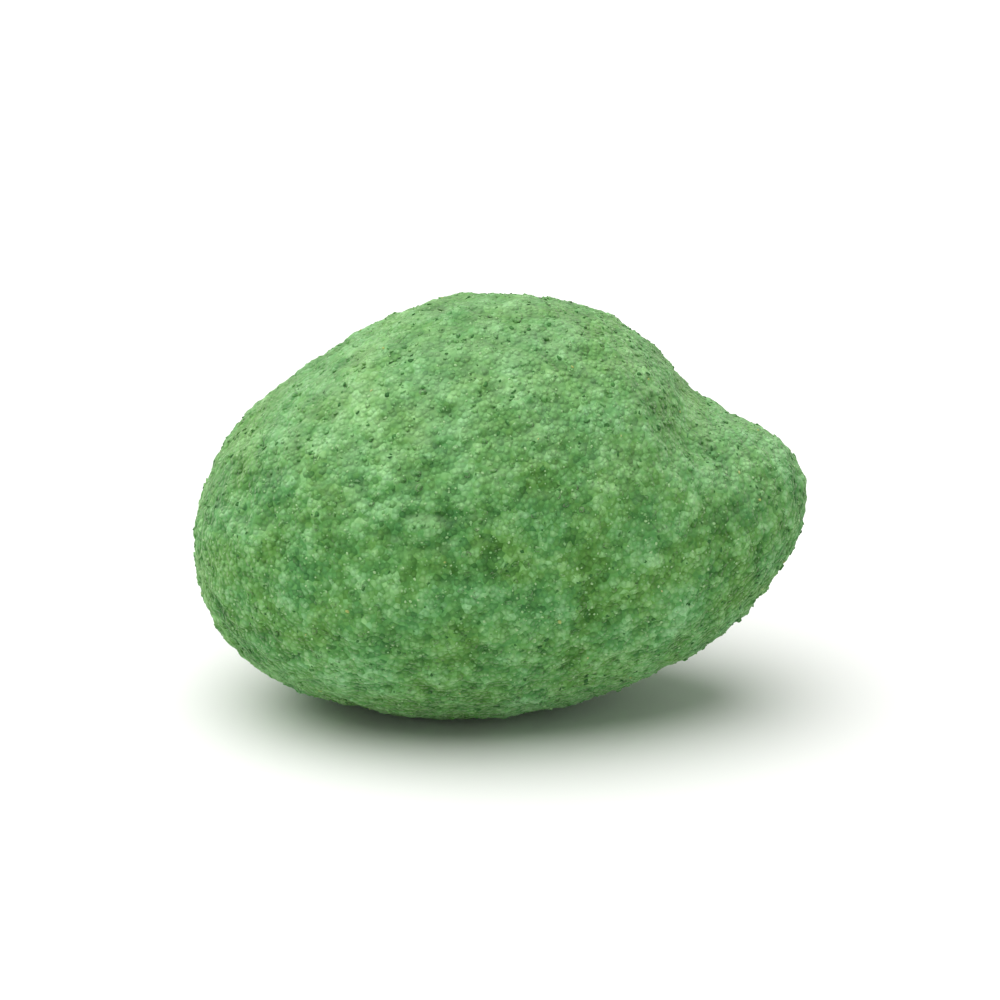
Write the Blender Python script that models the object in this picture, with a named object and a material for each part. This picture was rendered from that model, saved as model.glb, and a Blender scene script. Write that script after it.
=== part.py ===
"""Wasabi coated peanut: one whole nut inside a baked green crust, modelled as one solid.

The form is an egg with a small nose at its +X end, which swells and dips where tumbling built the
crust up unevenly. It lies on its side, the long way along X, and rests on a small flat.
Units are metres, +Z is up, and the origin is under the middle of the piece, on the surface it rests on.
"""

import bmesh
import bpy
from math import exp, radians
from mathutils import Matrix, Vector, noise

# Driving dimensions.
LENGTH = 0.0198
DEPTH = 0.0132
HEIGHT = 0.0137

# Half of each driving dimension. Places, sizes and reaches below are shares of these three, and a
# rise is a share of the last one.
HALVES = Vector((LENGTH / 2, DEPTH / 2, HEIGHT / 2))

# The egg under the swellings: its half sizes, how much thinner it is at its +X end than in the
# middle, and how far that end is tilted up, in degrees.
EGG_SIZES = (0.953, 0.985, 0.972)
TAPER = 0.155
TILT = 2.6

# What tumbling added or took away, as (place, reach, rise). A dip is negative.
SWELLINGS = {
    "nose": ((1.01, -0.06, 0.24), (0.19, 0.42, 0.29), 0.105),
    "saddle behind the nose": ((0.71, -0.08, 0.54), (0.14, 0.46, 0.23), -0.123),
    "brow": ((0.41, 0.00, 0.89), (0.22, 0.49, 0.32), 0.037),
    "crown": ((0.06, -0.05, 1.03), (0.32, 0.55, 0.38), 0.115),
    "sloping shoulder": ((-0.63, 0.08, 0.73), (0.36, 0.58, 0.44), -0.111),
    "heel": ((-0.87, -0.12, -0.41), (0.30, 0.55, 0.41), 0.090),
    "chin": ((0.69, -0.12, -0.54), (0.26, 0.49, 0.35), 0.066),
    "thumb dent": ((0.24, -0.95, -0.05), (0.18, 0.30, 0.26), -0.022),
    "rear bulge": ((-0.20, 0.90, -0.15), (0.32, 0.35, 0.40), 0.035),
    "rear hollow": ((0.48, 0.72, 0.22), (0.24, 0.30, 0.30), -0.040),
}

# Low relief of the crust, each layer as (width of a lump, height of a lump, offset in the noise).
RELIEF = {
    "rolling lumps": (0.0042, 0.00016, 3.1),
    "knobbles": (0.0017, 0.00007, 11.7),
    "coarse crumb": (0.0008, 0.00003, 23.9),
}

# How much of the underside is worn flat, so that the piece rests without rolling.
FLAT_DEPTH = 0.00025

# Each of the icosphere's 20 triangles is cut into a grid this many triangles to a side.
GRID_SIDE = 21

CRUST_GREEN = (0.158, 0.352, 0.118, 1.0)
CRUST_ROUGHNESS = 0.92


def clear_scene():
    for obj in list(bpy.data.objects):
        bpy.data.objects.remove(obj, do_unlink=True)


def crust_material():
    """Baked flour crust dusted with wasabi powder: dry, matt and mid green."""
    material = bpy.data.materials.new("wasabi_crust")
    material.use_nodes = True
    surface = material.node_tree.nodes["Principled BSDF"]
    surface.inputs["Base Color"].default_value = CRUST_GREEN
    surface.inputs["Roughness"].default_value = CRUST_ROUGHNESS
    surface.inputs["Metallic"].default_value = 0.0
    material.diffuse_color = CRUST_GREEN
    return material


def in_metres(shares):
    """A place or a size given as shares of the piece's half dimensions."""
    return Vector(share * half for share, half in zip(shares, HALVES))


def egg_point(direction):
    """The place on the tapered, tilted egg that this direction of a unit sphere becomes."""
    thickness = 1.0 - TAPER * direction.x
    sizes = in_metres(EGG_SIZES)
    point = Vector(share * size for share, size in zip(direction, sizes))
    point.y *= thickness
    point.z *= thickness
    return Matrix.Rotation(radians(-TILT), 3, "Y") @ point


def swelling_at(point):
    """How far the crust stands proud of the egg there, all swellings and dips together."""
    total = 0.0
    for place, reach, rise in SWELLINGS.values():
        away = point - in_metres(place)
        steps = Vector(distance / width for distance, width in zip(away, in_metres(reach)))
        total += rise * HALVES.z * exp(-steps.length_squared / 2)
    return total


def relief_at(point):
    """The crust's low lumps and knobbles there, from smooth noise that is the same on each run."""
    total = 0.0
    for width, height, offset in RELIEF.values():
        total += height * noise.noise(point / width + Vector((offset, offset, offset)))
    return total


def shape_crust(mesh):
    """Turns a unit sphere into the lumpy egg, each place moved straight out or in."""
    for vertex in mesh.verts:
        point = egg_point(vertex.co.normalized())
        vertex.co = point + point.normalized() * (swelling_at(point) + relief_at(point))


def stand_on_flat(mesh):
    """Moves the piece over the origin and wears its underside flat at the height of the surface."""
    lowest = Vector(min(vertex.co[axis] for vertex in mesh.verts) for axis in range(3))
    highest = Vector(max(vertex.co[axis] for vertex in mesh.verts) for axis in range(3))
    middle = (lowest + highest) / 2
    base = Vector((middle.x, middle.y, lowest.z + FLAT_DEPTH))
    for vertex in mesh.verts:
        vertex.co -= base
        vertex.co.z = max(vertex.co.z, 0.0)


def coated_peanut():
    """The whole piece: a sphere of even triangles, shaped, stood on its flat and shaded smooth."""
    mesh = bmesh.new()
    bmesh.ops.create_icosphere(mesh, subdivisions=1, radius=1.0)
    bmesh.ops.subdivide_edges(mesh, edges=mesh.edges[:], cuts=GRID_SIDE - 1, use_grid_fill=True)
    bmesh.ops.triangulate(mesh, faces=mesh.faces[:])
    shape_crust(mesh)
    stand_on_flat(mesh)
    bmesh.ops.recalc_face_normals(mesh, faces=mesh.faces[:])
    data = bpy.data.meshes.new("coated_peanut")
    mesh.to_mesh(data)
    mesh.free()
    data.shade_smooth()
    data.materials.append(crust_material())
    piece = bpy.data.objects.new("coated_peanut", data)
    bpy.context.scene.collection.objects.link(piece)
    return piece


clear_scene()
coated_peanut()
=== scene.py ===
import math

import bpy
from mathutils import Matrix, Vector


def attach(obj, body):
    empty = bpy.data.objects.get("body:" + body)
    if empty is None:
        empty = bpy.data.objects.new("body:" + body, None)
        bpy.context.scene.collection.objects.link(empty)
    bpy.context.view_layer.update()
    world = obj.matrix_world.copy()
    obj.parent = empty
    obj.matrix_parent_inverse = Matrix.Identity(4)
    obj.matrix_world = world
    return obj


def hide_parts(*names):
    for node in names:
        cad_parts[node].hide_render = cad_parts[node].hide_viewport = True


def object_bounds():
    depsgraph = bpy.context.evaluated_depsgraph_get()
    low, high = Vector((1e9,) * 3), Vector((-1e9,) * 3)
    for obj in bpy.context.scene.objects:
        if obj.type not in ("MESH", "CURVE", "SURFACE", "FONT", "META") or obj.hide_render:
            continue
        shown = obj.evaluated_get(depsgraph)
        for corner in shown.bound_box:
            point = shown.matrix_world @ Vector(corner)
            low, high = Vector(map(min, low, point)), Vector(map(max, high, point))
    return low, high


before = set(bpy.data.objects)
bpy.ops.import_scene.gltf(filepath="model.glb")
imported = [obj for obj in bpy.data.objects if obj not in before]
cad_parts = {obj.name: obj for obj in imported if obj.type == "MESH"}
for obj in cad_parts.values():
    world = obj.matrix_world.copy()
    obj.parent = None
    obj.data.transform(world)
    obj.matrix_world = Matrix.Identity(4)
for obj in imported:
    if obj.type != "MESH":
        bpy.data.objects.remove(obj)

cad_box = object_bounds()

# The baked crust.
# A roasted peanut is tumbled in wet flour and starch until a shell grows round it, then baked hard.
# The shell is low and lumpy, rough as coarse sandpaper, with pinholes where steam came out.


def add(tree, kind, inputs=None, **settings):
    """Adds a node with its settings. An input is a value, or the output socket that feeds it."""
    made = tree.nodes.new(kind)
    for name, value in settings.items():
        setattr(made, name, value)
    for name, value in (inputs or {}).items():
        if isinstance(value, bpy.types.NodeSocket):
            tree.links.new(value, made.inputs[name])
        else:
            made.inputs[name].default_value = value
    return made


def linear(hex_colour):
    """The colour that a material takes for this sRGB hex colour."""
    channels = [int(hex_colour[at:at + 2], 16) / 255 for at in (1, 3, 5)]
    return [c / 12.92 if c <= 0.04045 else ((c + 0.055) / 1.055) ** 2.4 for c in channels] + [1.0]


MILLIMETRE = 0.001
RELIEF_UNIT = 0.1 * MILLIMETRE  # How far a height of 1 stands out.
RESTING_ZONE = 0.5 * MILLIMETRE  # The relief fades out this near to the surface it rests on.

bpy.ops.object.select_all(action="DESELECT")
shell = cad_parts["coated_peanut"]
crust = bpy.data.objects.new("baked_crust", shell.data.copy())
bpy.context.scene.collection.objects.link(crust)
bpy.context.view_layer.objects.active = crust
crust.select_set(True)
bpy.ops.object.mode_set(mode="EDIT")
bpy.ops.mesh.select_all(action="SELECT")
bpy.ops.mesh.remove_doubles(threshold=0.002 * MILLIMETRE)
bpy.ops.object.mode_set(mode="OBJECT")

# Even small faces, so that the relief can be cut anywhere.
skin = crust.modifiers.new("even_skin", "REMESH")
skin.mode = "VOXEL"
skin.voxel_size = 0.107 * MILLIMETRE
bpy.ops.object.modifier_apply(modifier=skin.name)
smoothing = crust.modifiers.new("soften_facets", "SMOOTH")
smoothing.factor = 0.5
smoothing.iterations = 4
bpy.ops.object.modifier_apply(modifier=smoothing.name)

# The relief is a sum of heights, which moves the skin in or out.
relief = bpy.data.node_groups.new("crust_relief", "GeometryNodeTree")
relief.interface.new_socket("Geometry", in_out="INPUT", socket_type="NodeSocketGeometry")
relief.interface.new_socket("Geometry", in_out="OUTPUT", socket_type="NodeSocketGeometry")
bare = add(relief, "NodeGroupInput").outputs[0]
place = add(relief, "GeometryNodeInputPosition").outputs[0]
outward = add(relief, "GeometryNodeInputNormal").outputs[0]
rested = add(relief, "ShaderNodeMapRange", {
    "Value": add(relief, "ShaderNodeSeparateXYZ", {0: place}).outputs[2],
    "From Min": 0.0, "From Max": RESTING_ZONE,
}, interpolation_type="SMOOTHSTEP").outputs[0]

# Pinholes about a third of a millimetre wide, 0.8 mm or so apart.
pinholes = add(relief, "ShaderNodeTexVoronoi", {"Vector": place, "Scale": 1 / (0.8 * MILLIMETRE)})
height = add(relief, "ShaderNodeMapRange", {
    "Value": pinholes.outputs["Distance"], "From Min": 0.05, "From Max": 0.23, "To Min": -0.8, "To Max": 0.0,
}, interpolation_type="SMOOTHSTEP").outputs[0]

# Flour grains swelled into knobs about 0.4 mm wide, packed side by side.
knobs = add(relief, "ShaderNodeTexVoronoi", {
    "Vector": place, "Scale": 1 / (0.42 * MILLIMETRE), "Smoothness": 0.35,
}, feature="SMOOTH_F1")
knob_height = add(relief, "ShaderNodeMapRange", {
    "Value": knobs.outputs["Distance"], "From Min": 0.1, "From Max": 0.75, "To Min": 0.4, "To Max": -0.4,
}).outputs[0]
height = add(relief, "ShaderNodeMath", {0: height, 1: knob_height}).outputs[0]

# Low lumps under them, as (width in mm, height).
for lump_width, lump_height in ((1.6, 0.45), (0.8, 0.45)):
    lumps = add(relief, "ShaderNodeTexNoise", {
        "Vector": place, "Scale": 1 / (lump_width * MILLIMETRE), "Detail": 1.0, "Roughness": 0.5,
    })
    layer = add(relief, "ShaderNodeMapRange", {
        "Value": lumps.outputs[0], "From Min": 0.25, "From Max": 0.75,
        "To Min": -lump_height, "To Max": lump_height,
    }, clamp=False).outputs[0]
    height = add(relief, "ShaderNodeMath", {0: height, 1: layer}).outputs[0]
height = add(relief, "ShaderNodeMath", {0: height, 1: rested}, operation="MULTIPLY").outputs[0]

# One bead of flour stands out in the middle of the shown side, with a shallow crease round it. Its
# place and half sizes are in mm.
BEAD_PLACE = (-2.3, -6.4, 8.2)
BEAD_HALF_SIZES = (0.95, 0.8, 0.6)
from_bead = add(relief, "ShaderNodeVectorMath", {
    0: place, 1: [c * MILLIMETRE for c in BEAD_PLACE],
}, operation="SUBTRACT").outputs[0]
from_bead = add(relief, "ShaderNodeVectorMath", {
    0: from_bead, 1: [1 / (c * MILLIMETRE) for c in BEAD_HALF_SIZES],
}, operation="MULTIPLY").outputs[0]
from_bead = add(relief, "ShaderNodeVectorMath", {0: from_bead}, operation="LENGTH").outputs["Value"]
for inner, outer, rise in ((0.0, 1.0, 3.0), (0.85, 1.35, -1.0)):
    layer = add(relief, "ShaderNodeMapRange", {
        "Value": from_bead, "From Min": inner, "From Max": outer, "To Min": rise, "To Max": 0.0,
    }, interpolation_type="SMOOTHSTEP").outputs[0]
    height = add(relief, "ShaderNodeMath", {0: height, 1: layer}).outputs[0]

push = add(relief, "ShaderNodeMath", {0: height, 1: RELIEF_UNIT}, operation="MULTIPLY").outputs[0]
offset = add(relief, "ShaderNodeVectorMath", {0: outward, "Scale": push}, operation="SCALE").outputs[0]
shaped = add(relief, "GeometryNodeSetPosition", {"Geometry": bare, "Offset": offset}).outputs[0]

# The material reads the height, to paint shade into the hollows, and a chance number for each knob.
knob_chance = add(relief, "ShaderNodeSeparateXYZ", {0: knobs.outputs["Color"]}).outputs[0]
for name, value in (("height", height), ("knob_tone", knob_chance)):
    shaped = add(relief, "GeometryNodeStoreNamedAttribute", {
        "Geometry": shaped, "Name": name, "Value": value,
    }, data_type="FLOAT", domain="POINT").outputs[0]
add(relief, "NodeGroupOutput", {0: shaped})
carve = crust.modifiers.new("crust_relief", "NODES")
carve.node_group = relief
bpy.ops.object.modifier_apply(modifier=carve.name)
bpy.ops.object.shade_smooth()

# Baked flour crust, tinted and dusted with wasabi. It is dry and quite matt, a chalky mid green made
# of fine grains that are each a little lighter or darker than the next, with painted shade in its hollows.
crust_flour = bpy.data.materials.new("baked_flour_crust_with_wasabi")
crust_flour.use_nodes = True
tree = crust_flour.node_tree
surface = tree.nodes["Principled BSDF"]
at = add(tree, "ShaderNodeTexCoord").outputs["Object"]

# Grit too fine for the mesh: round grains packed side by side. Most real grit is finer still, and is
# drawn as coarse as it needs to be to show, with grains about 0.17 mm wide.
grit = add(tree, "ShaderNodeTexVoronoi", {"Vector": at, "Scale": 1 / (0.17 * MILLIMETRE)})
grain_middle = grit.outputs["Position"]
grain_chances = add(tree, "ShaderNodeSeparateColor", {0: grit.outputs["Color"]})
grain_height = add(tree, "ShaderNodeMapRange", {
    "Value": grit.outputs["Distance"], "From Min": 0.0, "From Max": 0.8, "To Min": 1.0, "To Max": 0.0,
}, interpolation_type="SMOOTHSTEP").outputs[0]
bumps = add(tree, "ShaderNodeBump", {
    "Height": grain_height, "Strength": 1.0, "Distance": 0.08 * MILLIMETRE,
})
tree.links.new(bumps.outputs[0], surface.inputs["Normal"])

# The tone, from 0, deep, to 1, pale. It varies by chance from grain to grain and from knob to knob,
# and is painted darker in the gaps between grains and in the hollows, as painted shade.
tone = 0.12
for cause, share in (
    (grain_chances.outputs[0], 0.36),
    # Painted shade: each grain is paler at its middle and darker towards the gaps round it.
    (grain_height, 0.26),
    # Painted shade: the lower the skin lies, in hollows, pinholes and the crease round the bead, the darker.
    (add(tree, "ShaderNodeAttribute", attribute_name="height").outputs["Fac"], 0.22),
    (add(tree, "ShaderNodeAttribute", attribute_name="knob_tone").outputs["Fac"], 0.20),
):
    tone = add(tree, "ShaderNodeMath", {0: cause, 1: share, 2: tone}, operation="MULTIPLY_ADD").outputs[0]

# Patches of paler and darker grains, as (width in mm, change of tone). A grain is of one colour all
# over, so the patches are read at its middle.
for patch_width, change in ((0.3, 0.08), (0.6, 0.11), (1.2, 0.11), (3.0, 0.08)):
    patches = add(tree, "ShaderNodeTexNoise", {
        "Vector": grain_middle, "Scale": 1 / (patch_width * MILLIMETRE), "Detail": 1.0, "Roughness": 0.5,
    })
    layer = add(tree, "ShaderNodeMapRange", {
        "Value": patches.outputs[0], "From Min": 0.3, "From Max": 0.7, "To Min": -change, "To Max": change,
    }).outputs[0]
    tone = add(tree, "ShaderNodeMath", {0: tone, 1: layer}).outputs[0]

# The powder isn't mixed evenly, so the green drifts between leaf green and a cooler, bluish green,
# over patches about 1.7 mm wide and a little from grain to grain.
drift = add(tree, "ShaderNodeTexNoise", {
    "Vector": grain_middle, "Scale": 1 / (1.7 * MILLIMETRE), "Detail": 2.0, "Roughness": 0.5,
})
mixed = add(tree, "ShaderNodeMath", {
    0: grain_chances.outputs[1], 1: 0.2, 2: drift.outputs[0],
}, operation="MULTIPLY_ADD").outputs[0]
coolness = add(tree, "ShaderNodeMapRange", {"Value": mixed, "From Min": 0.40, "From Max": 0.80})

# Inputs 6 and 7 of a mix node are its two colours.
shades = []
for deep, plain, pale in (("#386a1f", "#659c4a", "#9ad086"), ("#2c6530", "#5a9b55", "#92cb8e")):
    ramp = add(tree, "ShaderNodeValToRGB", {0: tone})
    ramp.color_ramp.elements[0].color = linear(deep)
    ramp.color_ramp.elements[1].color = linear(pale)
    ramp.color_ramp.elements.new(0.5).color = linear(plain)
    shades.append(ramp.outputs[0])
green = add(tree, "ShaderNodeMix", {0: coolness.outputs[0], 6: shades[0], 7: shades[1]}, data_type="RGBA")

# Painted light: whatever faces up is mixed thinly, and in patches, toward a pale whitish green that stands
# in for the light from above.
facing = add(tree, "ShaderNodeSeparateXYZ", {0: add(tree, "ShaderNodeNewGeometry").outputs["Normal"]})
top_light_cover = add(tree, "ShaderNodeMapRange", {
    "Value": facing.outputs[2], "From Min": 0.1, "From Max": 0.9, "To Max": 0.22,
}, interpolation_type="SMOOTHSTEP").outputs[0]
top_light_noise = add(tree, "ShaderNodeTexNoise", {
    "Vector": at, "Scale": 1 / (0.9 * MILLIMETRE), "Detail": 3.0,
})
patchiness = add(tree, "ShaderNodeMapRange", {
    "Value": top_light_noise.outputs[0], "From Min": 0.35, "From Max": 0.65, "To Min": 0.5, "To Max": 1.5,
}).outputs[0]
painted_top_light = add(tree, "ShaderNodeMath", {0: top_light_cover, 1: patchiness}, operation="MULTIPLY").outputs[0]
top_lit_green = add(tree, "ShaderNodeMix", {
    0: painted_top_light, 6: green.outputs[2], 7: linear("#b4dda5"),
}, data_type="RGBA").outputs[2]
tree.links.new(top_lit_green, surface.inputs["Base Color"])
surface.inputs["Roughness"].default_value = 0.9
surface.inputs["Specular IOR Level"].default_value = 0.25
surface.inputs["Sheen Weight"].default_value = 0.4
surface.inputs["Sheen Roughness"].default_value = 0.4
surface.inputs["Sheen Tint"].default_value = linear("#d0e8be")
crust.data.materials.clear()
crust.data.materials.append(crust_flour)
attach(crust, "root")
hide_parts("coated_peanut")

# Crumbs in the crust.
# Small knots of flour that formed in the drum and baked on, half sunk, of the crust's own stuff.


def stick_on(name, per_square_mm, smallest, largest, thickness, seed):
    """Grains all over the crust except under it, mostly small, each turned and toned its own way.

    Smallest and largest are widths in mm, and thickness is a share of the width.
    """
    grains = bpy.data.objects.new(name, crust.data.copy())
    bpy.context.scene.collection.objects.link(grains)
    nodes = bpy.data.node_groups.new(name, "GeometryNodeTree")
    nodes.interface.new_socket("Geometry", in_out="INPUT", socket_type="NodeSocketGeometry")
    nodes.interface.new_socket("Geometry", in_out="OUTPUT", socket_type="NodeSocketGeometry")
    base = add(nodes, "NodeGroupInput").outputs[0]
    spot = add(nodes, "GeometryNodeInputPosition").outputs[0]
    above = add(nodes, "FunctionNodeCompare", {
        0: add(nodes, "ShaderNodeSeparateXYZ", {0: spot}).outputs[2], 1: RESTING_ZONE,
    }, data_type="FLOAT", operation="GREATER_THAN").outputs[0]
    spread = add(nodes, "GeometryNodeDistributePointsOnFaces", {
        "Mesh": base, "Selection": above, "Density": per_square_mm / MILLIMETRE ** 2, "Seed": seed,
    })
    toned = add(nodes, "GeometryNodeStoreNamedAttribute", {
        "Geometry": spread.outputs["Points"], "Name": "own_tone",
        "Value": add(nodes, "FunctionNodeRandomValue", {"Seed": seed + 1}, data_type="FLOAT").outputs[1],
    }, data_type="FLOAT", domain="POINT").outputs[0]
    chance = add(nodes, "FunctionNodeRandomValue", {"Seed": seed + 2}, data_type="FLOAT").outputs[1]
    few_large = add(nodes, "ShaderNodeMath", {0: chance, 1: 2.0}, operation="POWER").outputs[0]
    width = add(nodes, "ShaderNodeMapRange", {
        "Value": few_large, "To Min": smallest * MILLIMETRE, "To Max": largest * MILLIMETRE,
    }).outputs[0]
    turn = add(nodes, "FunctionNodeRandomValue", {
        0: (-0.5, -0.5, 0.0), 1: (0.5, 0.5, 2 * math.pi), "Seed": seed + 3,
    }, data_type="FLOAT_VECTOR").outputs[0]
    turned = add(nodes, "FunctionNodeRotateRotation", {
        "Rotation": spread.outputs["Rotation"],
        "Rotate By": add(nodes, "FunctionNodeEulerToRotation", {"Euler": turn}).outputs[0],
    }, rotation_space="LOCAL").outputs[0]
    sizes = add(nodes, "ShaderNodeVectorMath", {
        0: (1.0, 0.75, thickness), "Scale": width,
    }, operation="SCALE")
    placed = add(nodes, "GeometryNodeInstanceOnPoints", {
        "Points": toned, "Rotation": turned, "Scale": sizes.outputs[0],
        "Instance": add(nodes, "GeometryNodeMeshIcoSphere", {"Radius": 0.5, "Subdivisions": 1}).outputs[0],
    }).outputs[0]
    real = add(nodes, "GeometryNodeRealizeInstances", {0: placed}).outputs[0]

    # No grain is round: each corner is moved by up to about a fifth of the smallest grain's width.
    wander = add(nodes, "ShaderNodeTexNoise", {"Vector": spot, "Scale": 1.5 / (smallest * MILLIMETRE)})
    centred = add(nodes, "ShaderNodeVectorMath", {
        0: wander.outputs[1], 1: (0.5, 0.5, 0.5),
    }, operation="SUBTRACT").outputs[0]
    nudge = add(nodes, "ShaderNodeVectorMath", {
        0: centred, "Scale": 0.8 * smallest * MILLIMETRE,
    }, operation="SCALE").outputs[0]
    uneven = add(nodes, "GeometryNodeSetPosition", {"Geometry": real, "Offset": nudge}).outputs[0]
    add(nodes, "NodeGroupOutput", {0: uneven})
    scatter = grains.modifiers.new(name, "NODES")
    scatter.node_group = nodes
    bpy.ops.object.select_all(action="DESELECT")
    bpy.context.view_layer.objects.active = grains
    grains.select_set(True)
    bpy.ops.object.modifier_apply(modifier=scatter.name)
    bpy.ops.object.shade_smooth()
    grains.data.materials.clear()
    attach(grains, "root")
    return grains


crumbs = stick_on(
    "flour_crumbs", per_square_mm=2.5, smallest=0.15, largest=0.34, thickness=0.25, seed=11)
crumbs.data.materials.append(crust_flour)

# Wasabi powder.
# Dry horseradish and starch powder, dusted on while the crust was still warm, so that it stuck.
# Most of it is too fine to show, so its grains are drawn as coarse as the coarsest, up to 0.14 mm.
powder = stick_on(
    "wasabi_powder", per_square_mm=12.0, smallest=0.05, largest=0.14, thickness=0.5, seed=23)

# Milled dry root and starch: dry, matt, soft green grains, most of them paler than the crust.
root_powder = bpy.data.materials.new("milled_wasabi_powder")
root_powder.use_nodes = True
tree = root_powder.node_tree
surface = tree.nodes["Principled BSDF"]
own_tone = add(tree, "ShaderNodeAttribute", attribute_name="own_tone").outputs["Fac"]
pale_greens = add(tree, "ShaderNodeValToRGB", {0: own_tone})
pale_greens.color_ramp.elements[0].color = linear("#6ba45e")
pale_greens.color_ramp.elements[1].color = linear("#a2c890")
pale_greens.color_ramp.elements.new(0.6).color = linear("#82b374")
tree.links.new(pale_greens.outputs[0], surface.inputs["Base Color"])
surface.inputs["Roughness"].default_value = 0.85
surface.inputs["Specular IOR Level"].default_value = 0.3
powder.data.materials.append(root_powder)

# Leaf flecks.
# Flakes of dried green leaf from the seasoning, which lie flat on the crust and stuck as it baked.
flecks = stick_on(
    "leaf_flecks", per_square_mm=1.3, smallest=0.10, largest=0.26, thickness=0.12, seed=37)

# Dried milled leaf: thin dark flakes, from bottle green to leaf green, with a faint waxy gleam.
dried_leaf = bpy.data.materials.new("dried_milled_leaf")
dried_leaf.use_nodes = True
tree = dried_leaf.node_tree
surface = tree.nodes["Principled BSDF"]
own_tone = add(tree, "ShaderNodeAttribute", attribute_name="own_tone").outputs["Fac"]
leaf_greens = add(tree, "ShaderNodeValToRGB", {0: own_tone})
leaf_greens.color_ramp.elements[0].color = linear("#2c6128")
leaf_greens.color_ramp.elements[1].color = linear("#4a8540")
tree.links.new(leaf_greens.outputs[0], surface.inputs["Base Color"])
surface.inputs["Roughness"].default_value = 0.7
surface.inputs["Specular IOR Level"].default_value = 0.3
flecks.data.materials.append(dried_leaf)

# Toasted grains.
# A few grains of flour that browned in the oven because no green flour covered them.
toasted = stick_on(
    "toasted_grains", per_square_mm=0.08, smallest=0.10, largest=0.22, thickness=0.4, seed=53)

# Toasted flour: dry and matt, from a greenish straw to a pale one.
toasted_flour = bpy.data.materials.new("toasted_flour")
toasted_flour.use_nodes = True
tree = toasted_flour.node_tree
surface = tree.nodes["Principled BSDF"]
own_tone = add(tree, "ShaderNodeAttribute", attribute_name="own_tone").outputs["Fac"]
tans = add(tree, "ShaderNodeValToRGB", {0: own_tone})
tans.color_ramp.elements[0].color = linear("#9aab5a")
tans.color_ramp.elements[1].color = linear("#b8c486")
tree.links.new(tans.outputs[0], surface.inputs["Base Color"])
surface.inputs["Roughness"].default_value = 0.85
surface.inputs["Specular IOR Level"].default_value = 0.3
toasted.data.materials.append(toasted_flour)

# The table top.
# A sheet of matt white card under the piece, so large that its edges never show.
bpy.ops.object.select_all(action="DESELECT")
bpy.ops.mesh.primitive_plane_add(size=40.0, location=(0.0, 0.0, 0.0))
card = bpy.context.object
card.name = "white_card"

# Uncoated white card: matt and even, with no gleam.
white = bpy.data.materials.new("matt_white_card")
white.use_nodes = True
surface = white.node_tree.nodes["Principled BSDF"]
surface.inputs["Base Color"].default_value = linear("#f4f4f2")
surface.inputs["Roughness"].default_value = 0.9
surface.inputs["Specular IOR Level"].default_value = 0.1
card.data.materials.append(white)

# The light of a photo studio.
# One broad soft light high above and a little to the left. The walls all round light the piece dimly
# and look as white as the card.
middle = (cad_box[0] + cad_box[1]) / 2
light_from = Vector((-0.25, -0.05, 0.97))
bpy.ops.object.light_add(type="SUN", location=middle + light_from)
lamp = bpy.context.object
lamp.name = "soft_light_above"
lamp.data.angle = math.radians(80.0)
lamp.data.energy = 3.3
lamp.rotation_euler = (-light_from).to_track_quat("-Z", "Y").to_euler()
walls = bpy.data.worlds.new("pale_walls")
bpy.context.scene.world = walls
walls.use_nodes = True
tree = walls.node_tree
wall = tree.nodes["Background"]
wall.inputs["Color"].default_value = linear("#ffffff")
seen = add(tree, "ShaderNodeLightPath").outputs["Is Camera Ray"]
strength = add(tree, "ShaderNodeMapRange", {"Value": seen, "To Min": 0.36, "To Max": 1.0})
tree.links.new(strength.outputs[0], wall.inputs["Strength"])
bpy.context.scene.view_settings.view_transform = "Standard"

# The camera.
# It looks along +Y from 20 degrees above the table, with a long lens, as the photograph does.
ELEVATION = 20.0
DISTANCE = 0.18
LENS_MM = 200.0
towards_camera = Vector((0.0, -math.cos(math.radians(ELEVATION)), math.sin(math.radians(ELEVATION))))
bpy.ops.object.camera_add(location=middle + towards_camera * DISTANCE)
camera = bpy.context.object
camera.name = "camera"
camera.rotation_euler = (-towards_camera).to_track_quat("-Z", "Y").to_euler()
camera.data.lens = LENS_MM
camera.data.clip_start = 0.01
camera.data.dof.use_dof = False
bpy.context.scene.camera = camera
